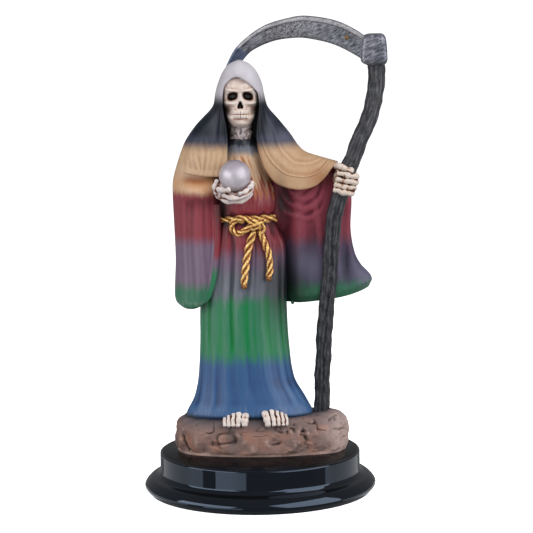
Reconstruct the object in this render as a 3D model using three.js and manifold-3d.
// A small painted figure of Santa Muerte, cast in resin in one piece with the mound that she stands on,
// her scythe and the ball in her hand, on a round plinth of its own.
// Lengths are millimetres, +Z is up and the figure faces -Y.
// The origin is the centre of the plinth's underside.
import * as THREE from "three";
import { LoftGeometry } from "three/addons/geometries/LoftGeometry.js";
import { mergeVertices, toCreasedNormals } from "three/addons/utils/BufferGeometryUtils.js";
import Module from "manifold-3d";

const wasm = await Module();
wasm.setup();

// The plinth: a drum on a spreading foot.
const PLINTH_HEIGHT = 11.5;
const FOOT_HEIGHT = 5.2;
const FOOT_RADIUS = 33;
const TOE_HEIGHT = 2;
const TOE_UNDERCUT = 1.4;
const DRUM_RADIUS = 28.5;
const DRUM_EDGE_ROUND = 1;
const COVE_ROUND = 0.9;
const PLINTH_SIDES = 36;

// The casting, from the mound's underside to the top of the blade. Everything carved on it is stated in
// hundredths of this height, so one hundredth is the unit of every table and size that follows.
const CASTING_HEIGHT = 123.3;
const HUNDREDTH = CASTING_HEIGHT / 100;

const TAU = 2 * Math.PI;
const { lerp, smoothstep, clamp } = THREE.MathUtils;

/** Reads a table by its first column: a smooth cubic runs through the rows and stays level past both ends. */
function table(rows) {
  const last = rows.length - 1;
  const slope = (from, to, column) => (to[column] - from[column]) / (to[0] - from[0]);
  return (at) => {
    if (at <= rows[0][0]) return rows[0].slice(1);
    if (at >= rows[last][0]) return rows[last].slice(1);
    const i = rows.findIndex((row) => row[0] >= at) - 1;
    const [low, high] = [rows[i], rows[i + 1]];
    const span = high[0] - low[0];
    const t = (at - low[0]) / span;
    return low.slice(1).map((value, k) => {
      const column = k + 1;
      const leave = span * slope(rows[Math.max(i - 1, 0)], high, column);
      const arrive = span * slope(low, rows[Math.min(i + 2, last)], column);
      const rise = high[column] - value;
      return value + t * (leave + t * (3 * rise - 2 * leave - arrive + t * (leave + arrive - 2 * rise)));
    });
  };
}

/** A closed loft through rings of points: u runs once round each ring, and v from the first to the last. */
function skin(around, along, point) {
  const rings = Array.from({ length: along + 1 }, (_, j) =>
    Array.from({ length: around }, (_, i) => new THREE.Vector3(...point(i / around, j / along, j))));
  const shrunk = (ring) => {
    const middle = ring.reduce((sum, corner) => sum.add(corner), new THREE.Vector3()).divideScalar(around);
    return ring.map(() => middle.clone());
  };
  // A ring shrunk to a point closes each end.
  const closed = [shrunk(rings[0]), ...rings, shrunk(rings[along])];
  return new LoftGeometry(closed).scale(HUNDREDTH, HUNDREDTH, HUNDREDTH);
}

/** A manifold-3d solid from a closed geometry, whichever way round its faces were listed. */
function solid(geometry) {
  const bare = new THREE.BufferGeometry().copy(geometry);
  bare.deleteAttribute("normal");
  bare.deleteAttribute("uv");
  const merged = mergeVertices(bare, 1e-4);
  const vertProperties = merged.attributes.position.array;
  const triVerts = new Uint32Array(merged.index.array);
  const made = new wasm.Manifold(new wasm.Mesh({ numProp: 3, vertProperties, triVerts }));
  if (made.volume() > 0) return made;
  for (let i = 0; i < triVerts.length; i += 3) triVerts.subarray(i, i + 2).reverse();
  return new wasm.Manifold(new wasm.Mesh({ numProp: 3, vertProperties, triVerts }));
}

// Faces that meet at a sharper angle than this, in radians, are drawn with a hard edge.
const CREASE = 0.8;

/** The geometry of a manifold-3d solid. */
function geometryOf(made) {
  const mesh = made.getMesh();
  const positions = [];
  for (let i = 0; i < mesh.numVert; i += 1) {
    positions.push(...mesh.vertProperties.subarray(i * mesh.numProp, i * mesh.numProp + 3));
  }
  const geometry = new THREE.BufferGeometry()
    .setAttribute("position", new THREE.Float32BufferAttribute(positions, 3))
    .setIndex([...mesh.triVerts]);
  return toCreasedNormals(geometry, CREASE);
}

/** How far a rounded section reaches at a turn: a sine or cosine, squared off as squareness grows. */
const squared = (wave, squareness) => Math.sign(wave) * Math.abs(wave) ** (2 / squareness);

/** A point of a rounded section that fills the box from left to right and from front to back. */
function section(turn, [left, right, front, back], squareness = 2.3) {
  const across = squared(Math.cos(TAU * turn), squareness);
  const deep = squared(Math.sin(TAU * turn), squareness);
  return [(left + right + (right - left) * across) / 2, (front + back + (back - front) * deep) / 2];
}

/** 1 inside a band from low to high, falling to 0 over the soft width at each side. */
function band(value, low, high, soft) {
  return smoothstep(value, low - soft, low + soft) * (1 - smoothstep(value, high - soft, high + soft));
}

/** A soft bump of height 1 at the middle. */
const bump = (distance, width) => Math.exp(-((distance / width) ** 2));

/** A ripple between -1 and 1 whose crests are broad and whose valleys are narrow, as in cast cloth. */
const fold = (phase) => 1 - 2 * Math.abs(Math.sin(phase / 2)) ** 1.6;

/** Sweeps a round or lobed section along a curve. The radius is a function of turn and share covered. */
function sweep(points, around, along, radius) {
  const curve = new THREE.CatmullRomCurve3(points.map((p) => new THREE.Vector3(...p)));
  const { normals, binormals } = curve.computeFrenetFrames(along);
  return skin(around, along, (u, v, j) => {
    const r = radius(u, v);
    return curve.getPointAt(v)
      .addScaledVector(normals[j], r * Math.cos(TAU * u))
      .addScaledVector(binormals[j], r * Math.sin(TAU * u))
      .toArray();
  });
}

/** How a rod's radius falls to nothing over the rounded share at each end. */
function roundedEnds(v, share) {
  const past = clamp(1 - Math.min(v, 1 - v) / share, 0, 0.97);
  return Math.sqrt(1 - past ** 2);
}

// The robe, by height: left, right, front and back. It is drawn in at the girdle and spreads at the hem.
const GIRDLE_HEIGHT = 54.3;
const ROBE = table([
  [6, -17.4, 13, -7.5, 7.6],
  [9.3, -16.7, 12.3, -7.2, 7.4],
  [12.6, -15.1, 10.6, -6.8, 7.1],
  [17, -14.1, 8.2, -6.3, 6.6],
  [25, -13.5, 7.1, -5.9, 6.2],
  [34, -13.3, 6.6, -5.6, 5.9],
  [46, -12.4, 6, -5.4, 5.6],
  [51.5, -11.5, 5, -5.1, 5.3],
  [GIRDLE_HEIGHT, -11, 4.6, -4.7, 5],
  [57.5, -11.4, 5.4, -5.6, 5.5],
  [63, -10.6, 4.5, -5.2, 5.2],
  [68.5, -9.2, 3, -4.6, 4.8],
  [72.4, -6.3, -0.3, -3.8, 3.4],
  [73.4, -5.6, -1, -3.2, 2.6],
]);
const ROBE_FOLDS = 17;
const ROBE_FOLD_DEPTH = 0.34;

function robe() {
  const [foot, neck] = [6, 73.4];
  return skin(38, 10, (u, v) => {
    const height = lerp(foot, neck, v ** 1.15);
    const [x, y] = section(u, ROBE(height));
    const angle = TAU * u;
    const atHem = 1 - smoothstep(height, foot, 30);
    const deep = ROBE_FOLD_DEPTH * (0.55 + 0.9 * atHem + 0.5 * smoothstep(height, 56, 70));
    const ripple = deep * (fold(ROBE_FOLDS * angle + 1.6 * Math.sin(3 * angle) + 0.03 * height) - 0.7);
    return [x + ripple * Math.cos(angle), y + ripple * Math.sin(angle), height];
  });
}

// The hooded mantle, by height: left, right, front and back.
const MANTLE_TOP = 90.2;
const MANTLE = table([
  [57, -18.2, 10.4, -6, 6.3],
  [65.2, -18.7, 10.8, -6.3, 6.4],
  [68.9, -17.6, 10.3, -6, 6.4],
  [72.2, -15.9, 8.7, -5.4, 6.3],
  [74.4, -14.4, 7.1, -5, 6.2],
  [76.5, -12.6, 5.4, -4.8, 6.1],
  [79.4, -9.9, 3, -4.7, 6],
  [82.1, -9, 2.2, -4.9, 5.9],
  [84.9, -8.4, 1.7, -5, 5.4],
  [87.7, -7.2, 0.4, -4.3, 4.1],
  [89.4, -5.7, -1.2, -2.7, 2.7],
  [MANTLE_TOP, -3.9, -3, -0.7, 0.9],
]);
// The opening that shows the face and the chest, by height: its left and right edges.
const OPENING = table([
  [56, -6.6, 7],
  [63.1, -6.5, 3.6],
  [65.2, -6.4, 2.3],
  [68.6, -6.4, 1],
  [72.5, -6.3, 0.2],
  [75.8, -6.6, 0.3],
  [79.6, -7.3, 0.9],
  [82.8, -7.3, 0.8],
  [84.6, -6.8, -0.1],
  [86, -5, -1.9],
  [86.8, -3.5, -3.3],
]);
const OPENING_TOP = 86.8;
const OPENING_FLOOR = -1;
const MANTLE_FRONT_HEM = 64.8;
const MANTLE_BACK_HEM = 58;
const MANTLE_FOLD_DEPTH = 0.3;
// How far the bent forearm lifts the mantle and its sleeve forward.
const FOREARM_REACH = 2.2;

function mantle() {
  const frontPoints = 23;
  const backPoints = 9;
  const around = frontPoints + backPoints;
  // Shares of the front where its corners sit: two close together at each edge of the opening.
  const stops = [0, 0.34, 0.36, 0.64, 0.66, 1];
  return skin(around, 10, (u, v) => {
    const step = Math.round(u * around);
    const isFront = step <= frontPoints;
    const share = isFront ? step / frontPoints : (step - frontPoints) / backPoints;
    const backward = isFront ? 0 : Math.sin(Math.PI * share);
    const hem = lerp(MANTLE_FRONT_HEM, MANTLE_BACK_HEM, backward);
    const height = lerp(hem, MANTLE_TOP, v ** 0.85);
    const box = MANTLE(height);
    const [left, right, front, back] = box;
    const [openLeft, openRight] = OPENING(height);
    let turn = 0.5 * share;
    if (isFront) {
      const places = [left, openLeft - 0.15, openLeft + 0.15, openRight - 0.15, openRight + 0.15, right];
      const k = Math.min(stops.findIndex((stop) => stop >= share && stop > 0), 5);
      let across = lerp(places[k - 1], places[k], (share - stops[k - 1]) / (stops[k] - stops[k - 1]));
      if (height > OPENING_TOP) across = lerp(left, right, share);
      across = clamp((2 * across - left - right) / (right - left), -1, 1);
      turn = 0.5 + Math.acos(-Math.sign(across) * Math.abs(across) ** 1.15) / TAU;
    }
    const [x, y] = section(turn, box);
    const angle = TAU * turn;
    const open = height < OPENING_TOP && x > openLeft && x < openRight && y < 0;
    if (open) return [x, lerp(OPENING_FLOOR, y, smoothstep(height, 84.8, OPENING_TOP)), height];
    const below = MANTLE_FOLD_DEPTH * (1 - smoothstep(height, 78, 84));
    const ripple = below * fold(15 * angle + 0.8 * Math.sin(2 * angle));
    const inFront = smoothstep(x, -18, -9) * smoothstep(-y, 0, 4);
    const overArm = x > 0 ? 0 : inFront * (1 - smoothstep(height, 65, 75));
    return [x + ripple * Math.cos(angle), y - FOREARM_REACH * overArm + ripple * Math.sin(angle), height];
  });
}

// The mantle over the raised arm, by distance out along it: ridge height, hem height, front and back.
const ARM_DRAPE = table([
  [-1, 73, 70, -4.8, 5.6],
  [1, 74, 68.2, -5.6, 5.9],
  [2.3, 74.5, 65.1, -6.1, 5.9],
  [3.6, 74.8, 63.2, -6.5, 5.8],
  [5, 74.6, 62.2, -6.8, 5.7],
  [7, 73.6, 61.5, -7, 5.4],
  [8.9, 71.8, 61.2, -7, 5],
  [10.3, 70.1, 61.2, -6.9, 4.6],
  [12, 69, 61.5, -6.7, 4],
  [14.3, 68.3, 62.5, -6.3, 3.2],
  [16.3, 67.9, 64.4, -5.9, 2],
  [17.8, 67.5, 66, -5.4, 0.6],
  [18.6, 67.2, 66.6, -4.8, -1],
]);
const SWAG_DEPTH = 0.32;

function armDrape() {
  const [inner, outer] = [-1, 18.6];
  return skin(18, 9, (u, v) => {
    const x = lerp(inner, outer, v);
    const [ridge, hem, front, back] = ARM_DRAPE(x);
    const [height, level] = section(u, [hem, ridge, front, back], 2.8);
    const spread = lerp(1, 0.42, smoothstep(height, hem, ridge));
    const middle = lerp(-1.4, -2.2, v);
    const reach = Math.hypot((x - 9.4) / 9, (height - 71) / 9.8);
    const swag = level < middle ? SWAG_DEPTH * fold(TAU * 2.4 * reach) * band(reach, 0.25, 0.92, 0.1) : 0;
    return [x, middle + (level - middle) * spread - swag, height];
  });
}

// The sleeve that hangs from the raised arm, by the share of its drop: right, front and back.
const WIDE_SLEEVE = table([
  [0, 17.6, -4.6, 2.6],
  [0.1, 20.4, -4.8, 3.2],
  [0.26, 21.7, -4.9, 3.7],
  [0.515, 21.5, -4.7, 4.1],
  [0.7, 22.4, -4.5, 4.4],
  [0.8, 23.7, -4.4, 4.5],
  [0.89, 25.5, -4.2, 4.5],
  [0.95, 26.3, -4, 4.4],
  [1, 25.6, -3, 3.6],
]);
const WIDE_SLEEVE_LEFT = 3.5;
const WIDE_SLEEVE_TOP = 67;
// Its hem, by distance from the middle of the figure: the height.
const WIDE_SLEEVE_HEM = table([
  [WIDE_SLEEVE_LEFT, 34.3],
  [8, 34.6],
  [14.2, 35.2],
  [19.6, 36],
  [23.4, 37.1],
  [26, 38.2],
]);

function wideSleeve() {
  return skin(24, 8, (u, v) => {
    const [x, level] = section(u, [WIDE_SLEEVE_LEFT, ...WIDE_SLEEVE(v)], 3);
    const height = lerp(WIDE_SLEEVE_TOP, WIDE_SLEEVE_HEM(x)[0], v);
    if (level > -1) return [x, level + 0.35 * fold(1.1 * x) * smoothstep(level, 1, 3), height];
    const reach = Math.hypot((x - 11) / 6.5, (height - 64) / 12);
    const swag = 0.32 * fold(TAU * 3 * reach) * band(reach, 0.2, 1.15, 0.12) * band(x, 8, 15, 1.2);
    const upright = 0.3 * fold(1.35 * (x - 9)) * smoothstep(64 - height, 10, 22);
    const valley = 1.7 * bump(x - 7.2, 1.7) + 0.9 * bump(x - 20, 1.3) * smoothstep(v, 0.1, 0.4);
    return [x, level - swag - upright + valley, height];
  });
}

// The sleeve that hangs from the bent arm, by height: left, right, front and back.
const HANGING_SLEEVE = table([
  [34.5, -18.2, -13.6, -5.3, 0.8],
  [35.3, -18.9, -13, -5.8, 1.5],
  [37.2, -19.1, -12.1, -5.9, 1.8],
  [40.3, -18.9, -10.9, -5.9, 2],
  [44.6, -18.7, -9.9, -5.9, 2],
  [50, -18.8, -9.2, -6, 2],
  [56, -19, -9, -6.3, 2],
  [59.7, -19.1, -9, -6.6, 2],
  [62.3, -19.1, -9, -6.4, 2],
  [66, -18, -9.4, -5, 1.8],
]);
const SLEEVE_LEAN = -0.42;
const SLEEVE_HEM = 34.5;
const SLEEVE_HEM_CURVE = 1.1;

function hangingSleeve(inset = 0, set = 0) {
  const top = inset ? 58 : 66;
  return skin(...(inset ? [10, 3] : [18, 7]), (u, v) => {
    const height = lerp(SLEEVE_HEM, top, v);
    const [left, right, front, back] = HANGING_SLEEVE(height);
    const [x, level] = section(u, [left + 2 * inset, right + set, front + 2 * inset, back - inset], 2.6);
    const off = (x - (left + right) / 2) / (right - left);
    const lift = SLEEVE_HEM_CURVE * (1 - v) ** 4 * (4 * off * off - 0.5);
    const ripple = level < -1 ? 0.24 * fold(1.9 * x) * (1 - smoothstep(height, 57, 62)) : 0;
    return [x, level + SLEEVE_LEAN * off * (right - left) - ripple, height + lift];
  });
}

// The head: a skull whose surface is a bulge round its centre, with hollows and ridges placed on the face.
const SKULL_CENTRE = [-3.3, -0.5, 81.4];
const SKULL_HALF_WIDTH = 3.8;
const SKULL_DEPTH = 4.5;
const BROW_HEIGHT = 83.6;
const EYE_HEIGHT = 82.3;
const EYE_SPACING = 1.72;
const NOSE_HEIGHT = 80.3;
const TEETH_HEIGHT = 78.3;
const SKULL = table([
  // height, half width, how far the face reaches forward
  [75.7, 1.5, 3.3],
  [76.4, 2.2, 4.1],
  [77.6, 2.75, 4.4],
  [78.6, 3, 4.5],
  [79.8, 3.2, 4.4],
  [80.7, 3.75, 4.4],
  [82.4, SKULL_HALF_WIDTH, 4.4],
  [84.2, 3.8, SKULL_DEPTH],
  [86, 3.3, 3.9],
  [87.6, 2, 2.4],
]);

function skull() {
  const [centreX, centreY] = SKULL_CENTRE;
  const [chin, crown] = [75.7, 87.6];
  return skin(24, 16, (u, v) => {
    const height = lerp(chin, crown, v);
    const [half, reach] = SKULL(height);
    // Three quarters of the corners go round the face, the rest round the back that the hood hides.
    const turn = u < 0.75 ? 0.5 + (u / 0.75) * 0.5 : 2 * (u - 0.75);
    const [across, level] = section(turn, [-half, half, -reach, 3.2], 2.2);
    const side = Math.abs(across);
    const facing = smoothstep(-level, 0.5, 2.5);
    const eye = 1.9 * bump(Math.hypot(side - EYE_SPACING, (height - EYE_HEIGHT) * 1.25), 0.85);
    const nose = 1.1 * bump(Math.hypot(side * 1.5, height - NOSE_HEIGHT + 0.25), 0.7);
    const cheek = 0.7 * bump(Math.hypot(side - 2.6, (height - 79) * 0.8), 0.8);
    const brow = 0.35 * bump(height - BROW_HEIGHT, 0.6) * bump(side - 1.7, 1.5);
    const bridge = 0.5 * bump(side, 0.5) * band(height, 80.9, 83, 0.4);
    const teeth = 0.3 * bump(height - TEETH_HEIGHT, 0.9) * bump(side, 1.9);
    const bone = 0.45 * bump(Math.hypot(side - 2.8, (height - 80.8) * 1.6), 0.9);
    const inward = eye + nose + cheek - brow - bridge - teeth - bone;
    return [centreX + across, centreY + level + facing * inward, height];
  });
}

function neck() {
  const from = [-3.3, -1, 70.5];
  const to = [-3.3, -1.1, 78];
  return sweep([from, to], 8, 3, (u, v) => 2.35 + 0.18 * Math.sin(TAU * (4 * v + 2 * u)));
}

// The ball and the hand that holds it.
const BALL_RADIUS = 3.6;
const BALL_CENTRE = [-4.7, -8.8, 64.8];

function ball() {
  const [x, y, z] = BALL_CENTRE.map((share) => share * HUNDREDTH);
  return new THREE.SphereGeometry(BALL_RADIUS * HUNDREDTH, 14, 9).rotateX(Math.PI / 2).translate(x, y, z);
}

/** A finger or toe: a rod with rounded ends that swells at its joints. */
function digit(points, radius, joints = 2) {
  return sweep(points, 5, points.length - 1, (u, v) => {
    const swelling = 1 + 0.12 * Math.cos(TAU * joints * v);
    return radius * roundedEnds(v, 0.18) * swelling;
  });
}

/** A smooth lump, such as a palm. */
function lump(centre, halves, around = 12, along = 8) {
  const scale = halves.map((half) => half * HUNDREDTH);
  const place = centre.map((share) => share * HUNDREDTH);
  return new THREE.SphereGeometry(1, around, along).scale(...scale).translate(...place);
}

const FINGER_RADIUS = 0.62;
const THUMB_RADIUS = 0.64;
const HEEL = [-7.5, -8.7, 61.5];

/** The hand under the ball: its fingers fan out from the heel, and the thumb closes in front. */
function openHand() {
  const [x, y, z] = HEEL;
  const tips = [[-2.3, -10.6, 62.5], [-1.2, -9.5, 63.2], [-1.3, -7.9, 62.9], [-2.2, -6.4, 62.4]];
  const fingers = tips.map((tip, k) => {
    const low = [-4.1 + 0.25 * k, y - 1.5 + 1.5 * k, 59.7];
    const bend = [(low[0] + tip[0]) / 2 + 0.5, (low[1] + tip[1]) / 2, 60.3];
    return digit([[x + 0.8, y - 1 + k, 60.3], low, bend, tip], FINGER_RADIUS, 3);
  });
  const thumb = digit([
    [x - 0.6, y - 1.5, z - 1],
    [x + 0.6, y - 2.9, z - 0.9],
    [-5.9, -11.9, 61.8],
    [-5.4, -11.9, 62.7],
  ], THUMB_RADIUS);
  const edge = digit([
    [x - 0.9, y - 1.2, z - 0.5],
    [x - 1.1, y - 1.2, z + 1.2],
    [x - 1, y - 1, z + 2.7],
  ], 0.6);
  const heel = lump(HEEL, [1.9, 2.4, 1.8], 8, 5);
  const palm = lump([-5.2, y, 60.2], [3, 2.6, 0.9], 8, 4);
  const wrist = sweep([[-11.5, -6.4, 61.4], [x, y, z]], 7, 1, () => 1.35);
  return [...fingers, thumb, edge, heel, palm, wrist];
}

// The scythe's shaft, from its foot in the mound up to the blade's socket: a bent, rough branch.
const SHAFT = [
  [14.6, 0.2, 5.5],
  [14.5, -0.4, 12.5],
  [14.9, -1.9, 22],
  [15.5, -3.3, 32],
  [16.5, -4.7, 42],
  [17.1, -5.6, 50],
  [18.1, -6, 57],
  [20.1, -5.9, 63.4],
  [22.8, -5.1, 70.3],
  [25.2, -4, 75.7],
  [27, -2.7, 81],
  [27.6, -1.5, 86],
  [27.6, -1.2, 91],
];
const SHAFT_RADIUS = 1.84;
const KNUCKLE_RADIUS = 0.68;

function shaft() {
  return sweep(SHAFT, 8, 18, (u, v) => {
    const knots = 0.07 * Math.sin(TAU * (9.3 * v + u)) + 0.05 * Math.sin(TAU * (23 * v - 2 * u));
    const bark = 0.05 * Math.cos(TAU * 5 * u + 3 * v);
    return SHAFT_RADIUS * (0.97 + 0.07 * smoothstep(v, 0.55, 0.75) + knots + bark);
  });
}

/** The hand round the shaft: four fingers side by side that cross its front, and the thumb above them. */
function fist() {
  const knuckles = [[23, 63.9], [22.9, 62.6], [22.4, 61.3], [22, 60.1]];
  const fingers = knuckles.map(([x, z], k) => {
    const tip = [18.2 - 0.25 * k, -7.5, z + 1.15];
    const across = (share, y) => [lerp(x, tip[0], share), y, lerp(z, tip[2], share)];
    const start = [x - 0.7, -4.5, z + 0.2];
    return digit([start, across(0.06, -6.4), across(0.28, -7.8), across(0.75, -8.1), tip], KNUCKLE_RADIUS, 3);
  });
  const thumb = digit([
    [17.3, -4.6, 66.2],
    [18.2, -7, 66.3],
    [19.9, -7.8, 66],
    [21.4, -7.6, 65.6],
  ], THUMB_RADIUS);
  const palm = lump([20.1, -4.4, 63], [2.7, 2, 3], 8, 5);
  return [...fingers, thumb, palm];
}

// The blade: two curves that close on each other towards the tip, which is hidden in the hood.
const BLADE_BACK = [
  [-7, 86.5],
  [-6.2, 89.3],
  [-3.8, 93.3],
  [2, 97.7],
  [8.5, 99.7],
  [12, 100],
  [18.4, 98.9],
  [23.1, 96.7],
  [26.5, 94.2],
];
const BLADE_EDGE = [
  [-5.2, 86.5],
  [-2.6, 90],
  [-0.4, 92.2],
  [4.4, 94.3],
  [9.4, 95],
  [12.4, 94.8],
  [17.8, 93.5],
  [22.5, 91.2],
  [26, 88.9],
];
const BLADE_LEVEL_AT_HOOD = 2;
const BLADE_LEVEL_AT_SOCKET = -1.1;
const BLADE_BACK_THICKNESS = 1.7;
const BLADE_EDGE_THICKNESS = 0.5;

function blade() {
  const curve = (points) => new THREE.SplineCurve(points.map((p) => new THREE.Vector2(...p)));
  const [backCurve, edgeCurve] = [curve(BLADE_BACK), curve(BLADE_EDGE)];
  // Round the section: share from back to edge, and side, -1 front or 1 rear.
  const outline = [[0, -0.6], [0.05, -1], [0.2, -0.9], [1, -1], [1, 1], [0.2, 0.9], [0.05, 1], [0, 0.6]];
  return skin(outline.length, 13, (u, v) => {
    const [share, side] = outline[Math.round(u * outline.length)];
    const [back, edge] = [backCurve.getPoint(v), edgeCurve.getPoint(v)];
    const thick = lerp(BLADE_BACK_THICKNESS, BLADE_EDGE_THICKNESS, share) / 2;
    const at = back.lerp(edge, share);
    return [at.x, lerp(BLADE_LEVEL_AT_HOOD, BLADE_LEVEL_AT_SOCKET, v) + side * thick, at.y];
  });
}

// The socket: a squared collar that joins the blade to the shaft, by the share of its height from its foot:
// left, right, front and back.
const SOCKET = table([
  [0, 25.9, 29.2, -2.9, 0.7],
  [0.1, 24.4, 29.9, -3.8, 1.4],
  [0.22, 24.1, 30.1, -4, 1.6],
  [0.83, 24.5, 29.8, -3.8, 1.4],
  [0.96, 25, 29.4, -3.3, 1],
  [1, 25.9, 28.9, -2.6, 0.4],
]);
const SOCKET_FOOT = 88.6;
const SOCKET_HEIGHT = 7.2;

function socket() {
  return skin(8, 5, (u, v) => [...section(u + 1 / 16, SOCKET(v), 5), SOCKET_FOOT + SOCKET_HEIGHT * v]);
}

// The rivet's head: its place on the blade, how far its middle stands forward, and its half size.
const RIVET_ACROSS = 20.9;
const RIVET_FORWARD = 0.4;
const RIVET_HEIGHT = 95;
const RIVET_SIZE = 0.5;

function rivet() {
  const middle = [RIVET_ACROSS, BLADE_LEVEL_AT_SOCKET - RIVET_FORWARD, RIVET_HEIGHT];
  return lump(middle, [RIVET_SIZE, RIVET_SIZE, RIVET_SIZE], 6, 4);
}

// The girdle: a laid rope round the waist with a half bow and two hanging ends.
const ROPE_RADIUS = 0.78;
const ROPE_STRANDS = 3;
const STRAND_DEPTH = 0.22;
const STRAND_STEP = 1.25;

/** A laid rope along a line: its corners are crests and valleys in turn, and each step swaps them. */
function rope(points, thickness = 1, step = STRAND_STEP) {
  const length = new THREE.CatmullRomCurve3(points.map((p) => new THREE.Vector3(...p))).getLength();
  const steps = Math.round(length / step);
  return sweep(points, 2 * ROPE_STRANDS, steps, (u, v) => {
    const lobes = 1 + STRAND_DEPTH * Math.cos(TAU * ROPE_STRANDS * u + Math.PI * steps * v);
    return ROPE_RADIUS * thickness * lobes * roundedEnds(v, 0.5 / length);
  });
}

function girdle() {
  const round = [];
  for (let k = 0; k <= 20; k += 1) {
    const turn = 0.76 + k / 20;
    const sag = 0.55 * Math.sin(TAU * (turn + 0.5)) + 0.5 * Math.cos(TAU * turn) * bump(turn - 1, 0.3);
    const [x, y] = section(turn, ROBE(GIRDLE_HEIGHT).map((side, i) => side + (i % 2 ? 0.25 : -0.25)));
    round.push([x, y, GIRDLE_HEIGHT + sag]);
  }
  // Across, level and drop from the girdle's own height.
  const bow = [
    [-0.4, -5.6, -0.9],
    [-2.4, -6, 0.4],
    [-4.6, -5.8, 0.2],
    [-5.7, -5.6, -1.5],
    [-4.6, -5.9, -3],
    [-2.8, -6.2, -2.4],
    [-1, -6.1, -0.9],
  ];
  const knot = [[-2, -5.5, -0.1], [-0.2, -6.5, -0.4], [1.3, -6.2, -1.7], [1, -5.7, -3.1]];
  const wrap = [[-1.4, -5.7, -1.9], [-0.3, -6.7, -1.4], [0.8, -6.4, -0.4], [1.4, -5.3, 0]];
  const longEnd = [
    [-0.5, -5.7, -2.3],
    [-1.6, -5.8, -5.3],
    [-2.4, -5.9, -9.1],
    [-2.9, -6, -13.1],
    [-3, -6, -15.4],
  ];
  const shortEnd = [
    [0.6, -5.7, -2.3],
    [1.8, -5.8, -5.3],
    [2.7, -5.8, -8],
    [2.9, -5.8, -10.7],
    [2.6, -5.9, -13.2],
  ];
  const hung = (points) => points.map(([x, y, drop]) => [x, y, GIRDLE_HEIGHT + drop]);
  return [
    rope(round, 1, 1.2 * STRAND_STEP),
    rope(hung(bow), 0.8),
    rope(hung(knot), 0.95),
    rope(hung(wrap), 0.9),
    rope(hung(longEnd), 1.08),
    rope(hung(shortEnd), 0.95),
  ];
}

// Toes from the big toe outward: how thick, and how high above the mound's underside each one arches.
const TOES = [
  [0.8, 10.2],
  [0.56, 10.5],
  [0.49, 10.2],
  [0.46, 9.8],
  [0.43, 9.3],
];
const TOE_TIP_HEIGHT = 7.6;

/** The toes that show under the hem. Side is -1 or 1, towards the little toe; lift raises the whole foot. */
function foot(bigToe, side, turn, lift) {
  let place = bigToe;
  return TOES.map(([radius, arch], k) => {
    const x = place;
    place += side * (radius + (TOES[k + 1] ?? TOES[k])[0]) * 1.02;
    const level = -7.7 + 0.22 * k;
    const top = arch - radius + lift;
    const aim = turn * (1 - 0.1 * k);
    const points = [
      [0, 1.9, top - 0.3],
      [0.3, 0, top],
      [0.75, -1, lerp(top, TOE_TIP_HEIGHT, 0.5)],
      [1, -1.45, TOE_TIP_HEIGHT],
    ];
    return digit(points.map(([share, y, z]) => [x + aim * share, level + y, z]), radius, 3);
  });
}

// The mound: an oval of rough ground whose rim is low in front, and higher behind and at both ends.
const MOUND_MIDDLE = 0.5;
const MOUND_HALF_WIDTH = 20;
const MOUND_HALF_DEPTH = 8.9;
const MOUND_TOP = 8.8;
const MOUND = table([
  // share, how far out, how far up to the rim, how far from the rim up to the top
  [0, 0.97, 0, 0],
  [0.2, 1, 0.35, 0],
  [0.4, 0.99, 0.8, 0],
  [0.6, 0.93, 1, 0.1],
  [0.8, 0.8, 1, 0.85],
  [1, 0.35, 1, 1],
]);

function mound() {
  return skin(30, 5, (u, v) => {
    const [out, up, over] = MOUND(v);
    const angle = TAU * u;
    const [c, s] = [squared(Math.cos(angle), 2.3), squared(Math.sin(angle), 2.15)];
    const slow = 0.014 * Math.sin(7 * angle + 4 * v);
    const quick = 0.012 * Math.sin(17 * angle - 9 * v) * smoothstep(v, 0, 0.1);
    const rough = slow + quick;
    const rim = 6.5 + 0.9 * s + 0.7 * c ** 2 + 0.4 * c + 0.3 * Math.sin(5 * angle + 1);
    const reach = out + rough;
    const height = rim * up + (MOUND_TOP - rim) * over;
    return [MOUND_MIDDLE + MOUND_HALF_WIDTH * c * reach, MOUND_HALF_DEPTH * s * reach, height];
  });
}

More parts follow.
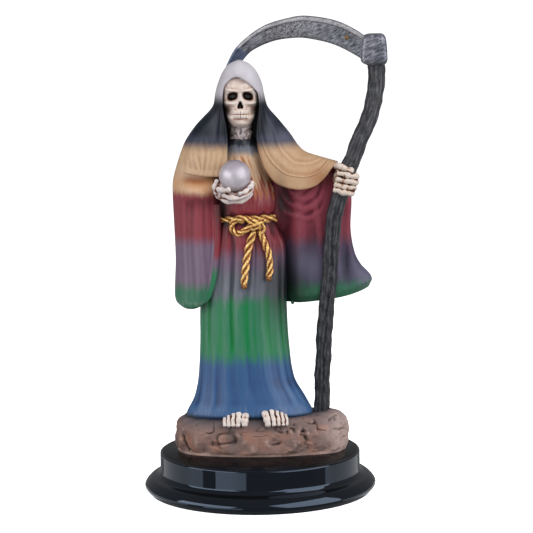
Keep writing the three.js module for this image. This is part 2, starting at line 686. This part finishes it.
/** The whole casting as one solid. */
function casting() {
  const pieces = [
    mound(), robe(), mantle(), armDrape(), wideSleeve(), hangingSleeve(), hangingSleeve(0.6, 0.9),
    skull(), neck(), ball(), ...openHand(), shaft(), ...fist(), blade(), socket(), rivet(),
    ...girdle(), ...foot(-3.9, -1, -0.2, 0), ...foot(1.6, 1, 0.9, 0.5),
  ];
  const joined = pieces.map(solid).reduce((whole, piece) => whole.add(piece));
  // The largest body is the outer skin: the others are hollows that the pieces enclose.
  const [outer] = joined.decompose().sort((one, other) => other.volume() - one.volume());
  return geometryOf(outer);
}

/** The plinth, turned about its axis: underside, toe, spreading foot, cove, drum and rounded top edge. */
function plinth() {
  const arc = (x, y, radius, from, to, steps) => {
    const points = [];
    for (let k = 0; k <= steps; k += 1) {
      const angle = THREE.MathUtils.degToRad(lerp(from, to, k / steps));
      points.push(new THREE.Vector2(x + radius * Math.cos(angle), y + radius * Math.sin(angle)));
    }
    return points;
  };
  const toe = new THREE.CatmullRomCurve3([
    new THREE.Vector3(FOOT_RADIUS - TOE_UNDERCUT, 0, 0),
    new THREE.Vector3(FOOT_RADIUS, TOE_HEIGHT, 0),
    new THREE.Vector3(lerp(FOOT_RADIUS, DRUM_RADIUS, 0.35), lerp(TOE_HEIGHT, FOOT_HEIGHT, 0.66), 0),
    new THREE.Vector3(DRUM_RADIUS + COVE_ROUND, FOOT_HEIGHT - COVE_ROUND * 0.3, 0),
  ]);
  const profile = [
    new THREE.Vector2(0, 0),
    ...toe.getPoints(5).map((p) => new THREE.Vector2(p.x, p.y)),
    new THREE.Vector2(DRUM_RADIUS, FOOT_HEIGHT + COVE_ROUND * 0.7),
    ...arc(DRUM_RADIUS - DRUM_EDGE_ROUND, PLINTH_HEIGHT - DRUM_EDGE_ROUND, DRUM_EDGE_ROUND, 0, 90, 2),
    new THREE.Vector2(0, PLINTH_HEIGHT),
  ];
  return new THREE.LatheGeometry(profile, PLINTH_SIDES).rotateX(Math.PI / 2);
}

function mesh(name, geometry, color, roughness) {
  const made = new THREE.Mesh(geometry, new THREE.MeshStandardMaterial({ color, roughness, metalness: 0 }));
  made.name = name;
  return made;
}

const figure = mesh("figure", casting(), 0x7c4650, 0.45);
figure.position.z = PLINTH_HEIGHT;

const group = new THREE.Group();
group.add(mesh("plinth", plinth(), 0x0b0c0f, 0.12), figure);

export default group;
